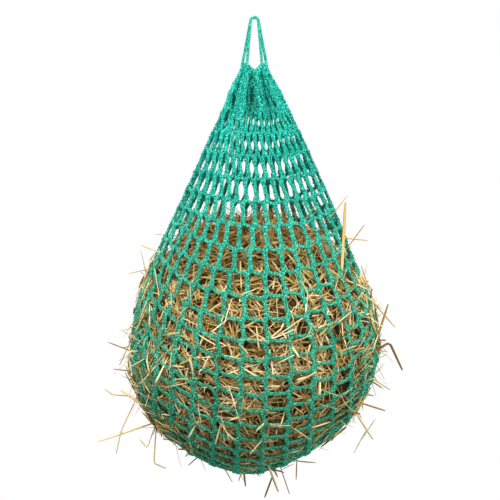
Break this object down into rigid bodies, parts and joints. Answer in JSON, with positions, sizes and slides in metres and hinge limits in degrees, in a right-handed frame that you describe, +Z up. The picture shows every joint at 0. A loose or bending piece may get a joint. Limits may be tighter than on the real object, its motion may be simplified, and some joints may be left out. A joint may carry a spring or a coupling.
{
  "type": "hay net",
  "caption": "Teardrop knotless hay net filled with hay, its mouth gathered on a drawcord whose doubled loop hangs on a hook.",
  "frame": {"origin": "Axis of the carrying hook: the middle of the bend at the top of both hanging loops.", "axes": "+Z up through the hanging loops, +X right along the gathered mouth and the bottom seam, -Y to the front."},
  "size_m": [0.5545, 0.5044, 0.8803],
  "materials": {
    "netting": "knitted polypropylene yarn, jade green, slight sheen",
    "drawcord": "braided polypropylene cord, jade green",
    "packed_hay": "dried meadow hay, dark between the stalks",
    "loose_hay": "dried hay stalks, straw gold, matt"
  },
  "bodies": {
    "hanging_loop": {"hanging_loop_front": "drawcord", "hanging_loop_back": "drawcord"},
    "mouth": {"mouth_cord": "drawcord", "drawcord_knot": "drawcord"},
    "pleats": {"mouth_pleat_left": "netting", "mouth_pleat_right": "netting", "mouth_pleats_middle": "netting"},
    "neck": {"neck_courses_lower": "netting", "neck_courses_upper": "netting", "neck_strands_back_left": "netting", "neck_strands_back_middle_left": "netting", "neck_strands_back_middle_right": "netting", "neck_strands_back_right": "netting", "neck_strands_front_left": "netting", "neck_strands_front_middle_left": "netting", "neck_strands_front_middle_right": "netting", "neck_strands_front_right": "netting"},
    "bag": {"bag_courses_lower": "netting", "bag_courses_middle": "netting", "bag_courses_shoulder": "netting", "bag_strands_left": "netting", "bag_strands_middle_left": "netting", "bag_strands_middle_right": "netting", "bag_strands_right": "netting", "base_seam": "drawcord", "hay_core": "packed_hay", "stalks_back": "loose_hay", "stalks_base": "loose_hay", "stalks_front": "loose_hay", "stalks_left": "loose_hay", "stalks_right": "loose_hay"}
  },
  "joints": [
    {"name": "drawcord_slide", "type": "slide", "parent": "hanging_loop", "child": "mouth", "axis": [0, 0, 1], "range_m": [0, 0.016]},
    {"name": "fore_aft_swing", "type": "hinge", "parent": "mouth", "child": "pleats", "pos_m": [0, 0, -0.083], "axis": [1, 0, 0], "range_deg": [-20, 20]},
    {"name": "side_swing", "type": "hinge", "parent": "pleats", "child": "neck", "pos_m": [0, 0, -0.083], "axis": [0, 1, 0], "range_deg": [-12, 12]},
    {"name": "bag_twist", "type": "hinge", "parent": "neck", "child": "bag", "pos_m": [0, 0, -0.3425], "axis": [0, 0, 1], "range_deg": [-60, 60]}
  ]
}
